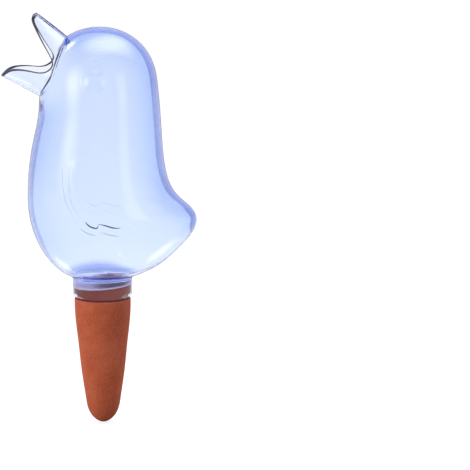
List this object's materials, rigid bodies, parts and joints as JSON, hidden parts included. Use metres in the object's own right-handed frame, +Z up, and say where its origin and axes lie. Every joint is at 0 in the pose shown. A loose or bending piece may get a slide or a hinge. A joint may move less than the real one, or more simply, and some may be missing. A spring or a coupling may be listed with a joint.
{
  "type": "bird-shaped plant watering globe",
  "caption": "Clear bird-shaped water reservoir with an open beak for filling and a hollow terracotta cone that seeps water into plant soil.",
  "frame": {"origin": "on the axis of the clay cone, at the level of its shoulder, which the soil reaches when it is pushed in", "axes": "+Z up from the cone to the crown of the head, -X the way the beak points, +X the tail"},
  "size_m": [0.0951, 0.0662, 0.2031],
  "materials": {
    "clear_plastic": "clear, pale blue, glossy",
    "terracotta": "unglazed, matte, porous",
    "sealant": "milky, translucent"
  },
  "bodies": {
    "root": {"reservoir": "clear_plastic", "clay_cone": "terracotta", "sealant_ring": "sealant"}
  },
  "joints": []
}
